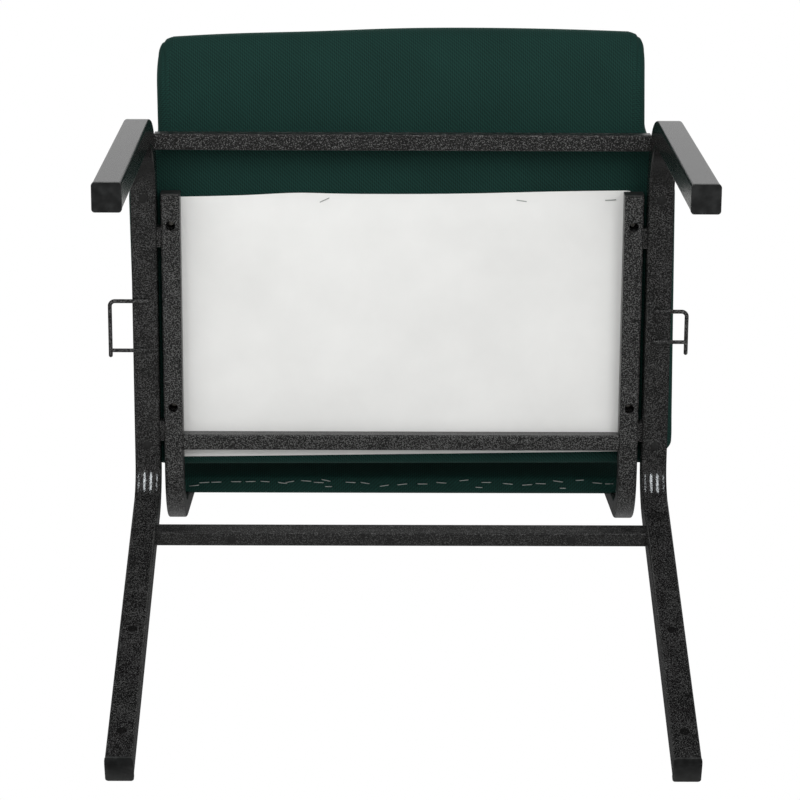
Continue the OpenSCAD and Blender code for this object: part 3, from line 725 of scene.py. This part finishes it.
class CHAIR_OT_feet(bpy.types.Operator):
    """Finishes the glides, tube plugs and stacking bumpers"""
    bl_idname = "chair.feet"
    bl_label = "Glides and bumpers"

    def execute(self, context):
        paint_nodes(finish_for(moulded_polyethylene, "moulded black polyethylene", "282929"),
                    "front_left_glide", "front_right_glide", "rear_left_glide",
                    "rear_right_glide", "seat_tube_plugs")
        paint_nodes(finish_for(moulded_rubber, "moulded black rubber", "060606"), "leg_bumpers")
        paint_nodes(finish_for(moulded_rubber, "scuffed black rubber", "242424"),
                    "rail_bumpers", "brace_bumpers")
        return {"FINISHED"}


class CHAIR_OT_brackets(bpy.types.Operator):
    """Coats the bent wire ganging brackets"""
    bl_idname = "chair.brackets"
    bl_label = "Ganging brackets"

    def execute(self, context):
        paint_nodes(tube_coat(context.scene, "black vein powder coat on wire"),
                    "left_gang_bracket", "right_gang_bracket")
        return {"FINISHED"}


# Staples: middle across x, place along the depth, slant in degrees, length in mm. Their
# wire is STAPLE_WIRE thick and their legs go LEG_SUNK into the cloth.
STAPLE_WIRE = 1.0
LEG_SUNK = 3
BACK_STAPLES = [
    (-213.5, -17.6, -6, 10), (-203.0, -20.8, -3, 10), (-190.5, -21.3, -2, 10),
    (-170.0, -21.8, 0, 10), (-155.0, -22.0, -2, 10), (-140.0, -22.0, 3, 9),
    (-122.0, -20.6, 8, 9), (-114.5, -21.8, -10, 9), (-97.5, -22.8, 4, 10), (-84.5, -21.2, 2, 10),
    (-77.0, -23.4, 12, 9), (-74.5, -16.9, 0, 7), (-51.5, -21.4, 3, 10), (-36.5, -20.7, 9, 9),
    (-16.5, -18.0, -9, 9), (2.0, -19.4, -6, 10), (23.0, -19.9, 0, 10), (42.5, -21.2, 4, 10),
    (66.0, -23.8, -6, 9), (81.5, -16.4, 3, 7), (89.0, -21.7, 0, 10), (111.5, -20.2, 5, 10),
    (131.5, -19.2, -4, 10), (145.5, -20.5, 2, 10), (163.5, -22.9, 8, 10), (168.5, -15.8, 0, 6),
    (186.0, -24.2, -3, 8), (204.0, -21.3, 5, 10), (216.5, -20.4, 0, 8)]
SHEET_STAPLES = [(-76.8, 80.1, -25, 10), (117.9, 80.2, 8, 10), (205.8, 79.1, -4, 10)]


def staple_row(staples, height, wire):
    """Staples of round wire as sweeps, one grid each, lying under the plane z = height.

    A staple's middle line runs up out of the cloth, bends, follows the crown along x by its
    length and goes in again; a ring is the line + r*(cos a*Y + sin a*N), N square to it.
    """
    turn = np.linspace(0, math.pi / 2, 6)
    sweep = np.linspace(0, 2 * math.pi, 11)[:-1]
    grids = []
    for x, y, slant, length in staples:
        half, bend, low = length / 2, wire * 0.8, wire * 0.45
        right = np.stack([half - bend + bend * np.sin(turn),
                          low - bend + bend * np.cos(turn)], -1)
        line = np.concatenate([[[-half, low - LEG_SUNK]], right[::-1] * [-1, 1], right,
                               [[half, low - LEG_SUNK]]])
        line[:, 1] *= -1
        ahead = heading(line)
        normal = np.stack([-ahead[:, 1], ahead[:, 0]], -1)
        r = np.full((len(line), 1), wire / 2)
        r[[0, -1]] = 0
        px = line[:, :1] + r * normal[:, :1] * np.sin(sweep)
        pz = line[:, 1:] + r * normal[:, 1:] * np.sin(sweep)
        py = r * np.cos(sweep)
        c, s = math.cos(math.radians(slant)), math.sin(math.radians(slant))
        grids.append(np.stack([x + px * c - py * s, y + px * s + py * c, height + pz], -1))
    return grids


class CHAIR_OT_fixings(bpy.types.Operator):
    """Finishes the screws, staples and plywood boards"""
    bl_idname = "chair.fixings"
    bl_label = "Screws, staples and boards"

    def execute(self, context):
        wire = finish_for(drawn_steel, "galvanised staple wire", "AEB2B0", 0.34)
        paint_nodes(finish_for(drawn_steel, "zinc-plated steel", "6E6C68", 0.4),
                    "seat_screws", "back_screws")
        for name, staples, height, turned, node in (
                ("back_staple_row", BACK_STAPLES, CUSHION_U[0], lean, "back_staples"),
                ("sheet_staple_wires", SHEET_STAPLES, RAIL_TOP - 0.5, np.array,
                 "dust_cover_staples")):
            grids = staple_row(staples, height, STAPLE_WIRE)
            row = mesh_object(name, [(turned(grid), None, True) for grid in grids])
            place(row, wire, "staple_steel", node)
        paint_nodes(finish_for(poplar_plywood, "raw poplar plywood"),
                    "seat_board", "back_board")
        return {"FINISHED"}


# Cushion grids: columns across, rows down a side, and how far they crowd to edge and seam
ACROSS_STEPS = 64
SIDE_STEPS = 45
EDGE_CROWDING = 0.9
SEAM_ROWS = 15
SEAM_BAND = 0.16

# A sewn seam, in mm: the width of its dent, and the place, width and share of its lip
SEAM_WIDTH = 1.3
LIP_AT = 3.2
LIP_WIDTH = 1.6
LIP_SHARE = 0.35
SIDE_PUFF = 2.6


def boxed_cushion(profile, medial, half_width, radius, crown, bow, seam_depth, seam_share):
    """Closed cushion: one panel wraps the profile, two boxing panels close its sides.

    profile is a closed ring of points (y, z), medial the point of the cushion's middle
    line that each of them looks at. Going across, share a runs from -1 to 1 and the panel's
    point is (a*w, profile + crown*(1 - a^2)^0.8). Past the panel's edge the surface turns in
    by an arc of the radius, then crosses the side to the middle line. The seam lies at
    seam_share of the arc and sinks as depth*exp(-(d/SEAM_WIDTH)^2), with a lip beside it.
    half_width gives half the width at each y.
    Returns the three patches with their cloth coordinates.
    """
    step = np.linalg.norm(np.roll(profile, -1, 0) - profile, axis=1)
    along = np.concatenate([[0], np.cumsum(step)[:-1]])
    inward = medial - profile
    reach = np.linalg.norm(inward, axis=1)
    inward = inward / reach[:, None]
    quarter = math.pi / 2 * EDGE_CROWDING
    a = np.sin(np.linspace(-1, 1, ACROSS_STEPS + 1) * math.pi / 2 * EDGE_CROWDING)
    a = a / math.sin(quarter)
    flat = half_width(profile[:, 0]) - radius
    lift = crown[None, :, :] * ((1 - a ** 2) ** 0.8)[:, None, None]
    push = bow[None, :, :] * (1 - a ** 2)[:, None, None]
    yz = profile[None] + lift + push
    x = a[:, None] * flat[None]
    patches = [(np.concatenate([x[..., None], yz], -1),
                np.stack([x, np.broadcast_to(along, x.shape)], -1) * MM, True)]
    for side in (-1, 1):
        arc_len = radius * math.pi / 2
        seam_at = arc_len * seam_share
        total = arc_len + (reach - radius)
        # distances from the panel's edge, crowded round the seam
        beyond = np.linspace(0, 1, SIDE_STEPS - SEAM_ROWS + 1) ** 1.15
        crowd = np.concatenate([np.linspace(0, 1, SEAM_ROWS)[:-1] * SEAM_BAND,
                                SEAM_BAND + beyond * (1 - SEAM_BAND)])
        d = crowd[:, None] * total[None]
        angle = np.minimum(d / radius[None], math.pi / 2)
        turned = d < arc_len[None]
        deep = np.where(turned, radius * (1 - np.cos(angle)), radius + (d - arc_len[None]))
        out = np.where(turned, radius * np.sin(angle), radius)
        near = d - seam_at[None]
        lip = np.exp(-((np.abs(near) - LIP_AT) / LIP_WIDTH) ** 2)
        dent = seam_depth * np.exp(-(near / SEAM_WIDTH) ** 2) - LIP_SHARE * seam_depth * lip
        share = np.clip((deep - radius) / np.maximum(reach - radius, 1e-6), 0, 1)
        puff = SIDE_PUFF * np.sin(math.pi / 2 * share) ** 0.8
        yz = profile[None] + inward[None] * (deep + dent * np.cos(angle))[..., None]
        w = half_width(yz[..., 0])
        x = side * (w - radius[None] + out - dent * np.sin(angle) + puff - SIDE_PUFF)
        uv = np.stack([np.broadcast_to(along, x.shape) + 3.0, d + 400.0], -1) * MM
        patches.append((np.concatenate([x[..., None], yz], -1), uv, True))
    return patches


def squared_rear(points, settings):
    """Lets the low rear edge bulge back, and more to the right, so that it stays square.

    y grows by (bulge + turn*0.7*x) times an ease over the last 40 mm before the rear, and
    times an ease that fades between 430 and 465 mm height, below the back cushion. Towards
    the corners, from 240 to 270 mm off the middle, that turns into 6 mm of pull forward.
    """
    p = np.array(points, float)
    rear = ease((p[..., 1] - SEAT_BACK + 40) / 40) * (1 - ease((p[..., 2] - 430) / 35))
    corner = ease((np.abs(p[..., 0]) - 240) / 30)
    bulge = settings.rear_mm + 0.7 * settings.turn * p[..., 0]
    p[..., 1] = p[..., 1] + rear * (bulge * (1 - corner) - 6 * corner)
    return p


def pulled_front(points):
    """The hand-pulled front: fuller at its right corner, flatter left of the middle.

    With f = ease((-30 - y)/40), x grows by 1.8*f*x/242 right of the middle, and y by
    1.5*f*exp(-((x + 85)/70)^2).
    """
    p = np.array(points, float)
    f = ease((-30 - p[..., 1]) / 40)
    p[..., 1] = p[..., 1] + 1.5 * f * np.exp(-((p[..., 0] + 85) / 70) ** 2)
    p[..., 0] = p[..., 0] + 1.8 * f * np.maximum(p[..., 0], 0) / 242
    return p


# Where the seat turns on its screws
PIVOT_Y = 20


def seated(points, settings):
    """Turns points with the seat, a little askew on its screws, about a point at y = PIVOT_Y."""
    p = np.array(points, float)
    x, y = p[..., 0].copy(), p[..., 1].copy() - PIVOT_Y
    c, s = math.cos(settings.turn), math.sin(settings.turn)
    p[..., 0] = settings.shift_mm + x * c + y * s
    p[..., 1] = PIVOT_Y + y * c - x * s
    return p


# The seat's profile, in chair mm: the top, the foremost point and its height over the
# underside, where the underside begins to rise and the top to fall, the exponent of the
# curve over the nose, and the length and radii of the rear edge
SEAT_TOP = 503.7
NOSE_Y = -77.0
NOSE_RISE = 46.0
UNDER_CURVE_Y = 38.0
OVER_CURVE_Y = -22.0
NOSE_EXPONENT = 2 / 2.4
REAR_RUN = 60.0
REAR_RADII = (20, 10)

# Half the seat's width at the nose and what the rails add to it, the rise of its crown, the
# bow of its nose, and the radii of its side edges below, above and at the nose
NOSE_HALF = 242.0
RAIL_WIDENING = 31.0
SEAT_CROWN = 9.0
NOSE_BOW = 6.0
UNDER_RADIUS, TOP_RADIUS, NOSE_RADIUS = 12, 22, 17


def seat_half_width(y):
    """NOSE_HALF at the nose, eased out by RAIL_WIDENING over the rails."""
    return NOSE_HALF + RAIL_WIDENING * ease((y - 10) / 70)


def seat_profile(low, rear):
    """Closed ring (y, z): forward under the seat, round the nose, back over the top.

    The underside rises to the nose as a quarter ellipse. Over the nose the distances to its
    middle go with cos(t)^e and sin(t)^e, where e is NOSE_EXPONENT.
    """
    nose_z = low + NOSE_RISE
    t = np.linspace(0, 1, 40) * math.pi / 2
    under = np.stack([UNDER_CURVE_Y - (UNDER_CURVE_Y - NOSE_Y) * np.sin(t),
                      nose_z - (nose_z - low) * np.cos(t)], -1)
    over = np.stack([OVER_CURVE_Y - (OVER_CURVE_Y - NOSE_Y) * np.cos(t) ** NOSE_EXPONENT,
                     nose_z + (SEAT_TOP - nose_z) * np.sin(t) ** NOSE_EXPONENT], -1)
    rear_edge = round_corners([[rear - REAR_RUN, SEAT_TOP], [rear, SEAT_TOP], [rear, low],
                               [rear - REAR_RUN, low]], REAR_RADII)
    end = rear - (REAR_RUN + 1)
    ring = np.concatenate([
        np.stack([np.linspace(end, UNDER_CURVE_Y + 1, 60), np.full(60, low)], -1), under,
        over[1:], np.stack([np.linspace(OVER_CURVE_Y + 1, end, 60), np.full(60, SEAT_TOP)], -1),
        rear_edge])
    return resample(np.concatenate([ring, ring[:1]]), 421)[:-1]


def upholstered(name, node, patches, moved):
    """A twill piece from cushion patches, each put in place by a function of its points."""
    piece = mesh_object(name, [(moved(points), uv, wrap) for points, uv, wrap in patches])
    return place(piece, twill(bpy.context.scene), "upholstery", node)


class CHAIR_OT_seat(bpy.types.Operator):
    """Upholsters the seat: a waterfall front panel with sewn boxing at both sides"""
    bl_idname = "chair.seat"
    bl_label = "Seat cushion"

    def execute(self, context):
        low, rear = CUSHION_LOW[2] + 0.1, SEAT_BACK
        middle = (low + SEAT_TOP) / 2
        ring = seat_profile(low, rear)
        y, z = ring[:, 0], ring[:, 1]
        none = np.zeros(len(ring))
        mid_z = np.interp(y, [NOSE_Y, NOSE_Y + 60, rear], [low + NOSE_RISE, middle, middle])
        medial = np.stack([np.clip(y, NOSE_Y + 44, rear - 44), mid_z], -1)
        up = ease((z - middle) / 40) * ease((y - NOSE_Y) / 100) * ease((rear - y) / 100)
        crown = np.stack([none, SEAT_CROWN * up], -1)
        bow = np.stack([-NOSE_BOW * ease((80 - y) / 157), none], -1)
        front = ease((NOSE_Y + 40 - y) / 40)
        radius = UNDER_RADIUS + (TOP_RADIUS - UNDER_RADIUS) * ease((z - low - 20) / 50)
        radius = radius + (NOSE_RADIUS - radius) * front
        seam_share = 0.23 + 0.25 * ease((z - low - 2) / 36)
        depth = context.scene.chair_upholstery.seam_depth_mm
        depth = depth * (0.2 + 0.8 * ease((z - low - 2) / 24)) * (1 - 0.5 * front)
        patches = boxed_cushion(ring, medial, seat_half_width, radius, crown, bow, depth,
                                seam_share)
        turn = context.scene.chair_seat
        seat = upholstered("seat_upholstery", "seat_cushion", patches, lambda points: seated(
            squared_rear(pulled_front(points), turn), turn))
        return {"FINISHED"}


# The back leans about a point (y, z) of the uprights. Its profile lies across the lean (w,
# rearward) and up it (u): front cushion, then the cover behind it, all in mm.
BACK_LEAN = math.radians(5.0)
BACK_FOOT = np.array([408.8, 441.42])
CUSHION_U = (22.3, 409.7)
CUSHION_W = (-57.5, -9.9)
COVER_U = (34.0, 408.4)
COVER_REAR = 11.4
COVER_BULGE_U = 92
BACK_SEAM_SHARE = 0.34


def lean(points):
    """(across, rearward w, up the lean u) to chair x, y, z, turned back at BACK_FOOT."""
    p = np.asarray(points, float)
    w, u = p[..., 1], p[..., 2]
    y = BACK_FOOT[0] + w * math.cos(BACK_LEAN) + u * math.sin(BACK_LEAN)
    z = BACK_FOOT[1] - w * math.sin(BACK_LEAN) + u * math.cos(BACK_LEAN)
    return np.stack([p[..., 0], y, z], -1)


class CHAIR_OT_back(bpy.types.Operator):
    """Upholsters the back: a padded front with sewn boxing, and the cover behind it"""
    bl_idname = "chair.back"
    bl_label = "Back cushion and cover"

    def execute(self, context):
        depth = context.scene.chair_upholstery.seam_depth_mm
        half = SEAT_TUBE_X + SEAT_TUBE / 2 + CUSHION_OVERHANG
        (foot, head), (front, rear) = CUSHION_U, CUSHION_W
        corner = round_corners([[front + 2, (foot + head) / 2], [front, foot + 58],
                                [rear - 17, foot], [rear, foot], [rear, head], [front, head],
                                [front + 2, (foot + head) / 2]], [30, 5, 4, 5, 17])
        ring = resample(corner, 401)[:-1]
        medial = np.stack([np.full(len(ring), (front + rear) / 2),
                           np.clip(ring[:, 1], foot + 30, head - 24)], -1)
        forward = ease(((front + rear) / 2 - ring[:, 0]) / 20)
        body = ease((ring[:, 1] - foot) / 60) * ease((head - ring[:, 1]) / 60)
        crown = np.stack([-9.0 * forward * body, np.zeros(len(ring))], -1)
        low_end = ease((foot + 30 - ring[:, 1]) / 30)
        high_end = ease((ring[:, 1] - head + 36) / 36)
        radius = 12 + 8 * low_end + 20 * high_end
        radius = np.minimum(radius, np.linalg.norm(medial - ring, axis=1) * 0.9)

        patches = boxed_cushion(ring, medial, lambda w: np.full(np.shape(w), half), radius,
                                crown, crown * 0, depth, BACK_SEAM_SHARE)
        cushion = upholstered("back_upholstery", "back_cushion", patches, lean)

        foot, head = COVER_U
        corner = round_corners([[rear + 2.2, foot + 0.01], [rear + 1.6, foot],
                                [COVER_REAR, foot + COVER_BULGE_U], [COVER_REAR, head],
                                [rear + 0.4, head], [rear + 0.4, foot],
                                [rear + 2.2, foot + 0.01]], [0.4, 40, 11, 3, 0.5])
        ring = resample(corner, 361)[:-1]
        medial = np.stack([
            np.interp(ring[:, 1], [foot, foot + COVER_BULGE_U], [rear + 1.2, 2.0]),
            np.clip(ring[:, 1], foot + 12, head - 14)], -1)
        span = np.linalg.norm(medial - ring, axis=1)
        radius = np.minimum(10.0, span * 0.85)
        none = np.zeros((len(ring), 2))

        patches = boxed_cushion(ring, medial, lambda w: np.full(np.shape(w), half - 0.6),
                                radius, none, none, depth * 0.3, BACK_SEAM_SHARE)
        cover = upholstered("back_rear_cover", "back_cover", patches, lean)
        return {"FINISHED"}


class CHAIR_OT_sheet(bpy.types.Operator):
    """Stretches the white sheet over the seat tubes, sagging a little between them"""
    bl_idname = "chair.sheet"
    bl_label = "Dust cover"

    def execute(self, context):
        low, high = node_box("dust_cover")
        half, y0, y1 = (high[0] - low[0]) / 2, low[1] - FRONT_Y + 0.5, high[1] - FRONT_Y + 0.7
        s = context.scene.chair_sheet
        u, v = np.meshgrid(np.linspace(-1, 1, 161), np.linspace(0, 1, 121), indexing="ij")
        # cut in a shallow wave, fuller left of the middle, and short at the right corner
        front = y0 + 0.6 * np.sin(5.2 * u + 0.6) - 1.5 * np.exp(-((u + 0.45) / 0.15) ** 2)
        front = front + s.corner_mm * ease((u - 0.955) / 0.06)
        x = half * u
        y = front + (y1 - front) * v
        inner = (SEAT_TUBE_X - SEAT_TUBE / 2) / half
        share = np.clip((inner - np.abs(u)) / inner, 0, 1)
        ends = ease(v / 0.12) * ease((1 - v) / 0.1)
        z = RAIL_TOP + 0.25 - s.sag_mm * (1 - (1 - share) ** 6) * (0.25 + 0.75 * ends)
        z = z + 0.3 * np.sin(7 * u + 3 * v) * ease(share / 0.1) * ends
        flat = np.stack([x, y, z], -1)
        sheet = mesh_object("dust_sheet", [
            (seated(flat, context.scene.chair_seat), flat[..., :2] * MM, False)])
        place(sheet, finish_for(nonwoven_sheet, "white spun-bonded sheet",
                                context.scene.chair_sheet.white), "cover_sheet", "dust_cover")
        return {"FINISHED"}


def area_light(name, position, target, size, power):
    """A soft light, size is width by height in m, that the camera doesn't see."""
    data = bpy.data.lights.new(name, "AREA")
    data.shape, data.energy = "RECTANGLE", power
    data.size, data.size_y = size
    lamp = bpy.data.objects.new(name, data)
    bpy.context.scene.collection.objects.link(lamp)
    aim = np.asarray(target, float) - np.asarray(position, float)
    lamp.location = position
    lamp.rotation_euler = Vector(aim).to_track_quat("-Z", "Y").to_euler()
    lamp.visible_camera = False
    return lamp


class CHAIR_OT_stage(bpy.types.Operator):
    """Sets the pale floor, white surround, soft lights and the camera below the front"""
    bl_idname = "chair.stage"
    bl_label = "Stage"

    def execute(self, context):
        scene, s = context.scene, context.scene.chair_stage
        edge = np.linspace(-1, 1, 3) * FLOOR_HALF_MM
        u, v = np.meshgrid(edge, edge, indexing="ij")
        floor = mesh_object("studio_floor", [(np.stack([u, v, u * 0 - 0.2], -1), None, False)])
        if floor.data.polygons[0].normal.z < 0:
            floor.data.flip_normals()
        paint(floor, matte_paper("pale studio paper", "F2F2F0"))

        world = bpy.data.worlds.new("white surround")
        scene.world = world
        world.use_nodes = True
        tree = world.node_tree
        tree.nodes.clear()
        path = add_node(tree, "LightPath")
        heading = add_node(tree, "TexCoord")
        height = add_node(tree, "SeparateXYZ", {0: heading.outputs["Generated"]})
        # gloss sees white overhead towards the front and the sweep behind, else a dim room
        overhead = add_node(tree, "MapRange", {
            "Value": height.outputs["Z"], "From Min": 0.65, "From Max": 0.95})
        forward = add_node(tree, "MapRange", {
            "Value": height.outputs["Y"], "From Min": 0.35, "From Max": -0.15})
        ahead = add_node(tree, "Math", {
            0: overhead, 1: forward}, operation="MULTIPLY")
        behind = add_node(tree, "MapRange", {
            "Value": height.outputs["Y"], "From Min": 0.4, "From Max": 0.9,
            "To Min": s.room, "To Max": 0.7})
        mirrored = add_node(tree, "Math", {
            0: ahead, 1: behind}, operation="MAXIMUM")
        lit = add_node(tree, "Mix", {
            "Factor": path.outputs["Is Glossy Ray"], 2: s.surround,
            3: mirrored}, data_type="FLOAT")
        seen = add_node(tree, "Math", {
            0: path.outputs["Is Camera Ray"], 1: path.outputs["Is Transmission Ray"]},
            operation="MAXIMUM")
        level = add_node(tree, "Mix", {
            "Factor": seen, 2: lit, 3: 1.0}, data_type="FLOAT")
        shade = add_node(tree, "Background", {
            "Color": (1, 1, 1, 1), "Strength": level})
        add_node(tree, "OutputWorld", {"Surface": shade})

        area_light("low softbox", (0.25, -1.5, -1.95), (0.0, 0.0, 0.4), (3.2, 1.4), s.low_light)
        area_light("front softbox", (0.0, -2.9, -0.2), (0.0, 0.0, 0.42), (1.8, 1.4),
                   s.front_light)
        top = area_light("top softbox", (-0.8, -0.6, 3.0), (0.0, 0.0, 0.4), (2.0, 2.0),
                         s.top_light)
        top.visible_glossy = False

        camera = bpy.data.objects.new("camera", bpy.data.cameras.new("camera"))
        scene.collection.objects.link(camera)
        camera.data.lens = s.lens_mm
        camera.data.sensor_width = SENSOR_MM
        level = Vector((0.0, math.cos(s.tilt), math.sin(s.tilt))).to_track_quat("-Z", "Y")
        turn = level @ Quaternion((0.0, 1.0, 0.0), -s.side_step / s.distance)
        turn = turn @ Quaternion((0.0, 0.0, 1.0), s.roll)
        aim = Vector(to_frame(AIM)) - Vector((s.aim_left, 0.0, 0.0))
        camera.location = aim + turn @ Vector((0.0, 0.0, s.distance))
        camera.rotation_euler = turn.to_euler()
        camera.data.clip_end = 50.0
        scene.camera = camera
        scene.view_settings.view_transform = "Standard"
        return {"FINISHED"}


class CHAIR_PT_panel(bpy.types.Panel):
    """Lists the chair's settings and steps in the sidebar"""
    bl_idname = "CHAIR_PT_panel"
    bl_label = "Church Chair"
    bl_space_type = "VIEW_3D"
    bl_region_type = "UI"
    bl_category = "Church Chair"

    def draw(self, context):
        for group, kind in GROUPS:
            settings = getattr(context.scene, group)
            box = self.layout.box()
            for key in kind.__annotations__:
                box.prop(settings, key)
        for step in STEPS:
            self.layout.operator(step.bl_idname)


GROUPS = (("chair_coat", FrameCoat), ("chair_upholstery", Upholstery), ("chair_seat", SeatTurn),
          ("chair_sheet", SheetLook), ("chair_stage", StageSettings))
STEPS = (CHAIR_OT_leg_frames, CHAIR_OT_tube_finish, CHAIR_OT_feet, CHAIR_OT_brackets,
         CHAIR_OT_fixings, CHAIR_OT_seat, CHAIR_OT_back, CHAIR_OT_sheet, CHAIR_OT_stage)


def register():
    for group, kind in GROUPS:
        bpy.utils.register_class(kind)
        setattr(bpy.types.Scene, group, PointerProperty(type=kind))
    for kind in (*STEPS, CHAIR_PT_panel):
        bpy.utils.register_class(kind)


def unregister():
    for kind in reversed((*STEPS, CHAIR_PT_panel)):
        bpy.utils.unregister_class(kind)
    for group, kind in reversed(GROUPS):
        delattr(bpy.types.Scene, group)
        bpy.utils.unregister_class(kind)


def main():
    register()
    for step in STEPS:
        family, name = step.bl_idname.split(".")
        getattr(getattr(bpy.ops, family), name)()


if __name__ == "__main__":
    main()
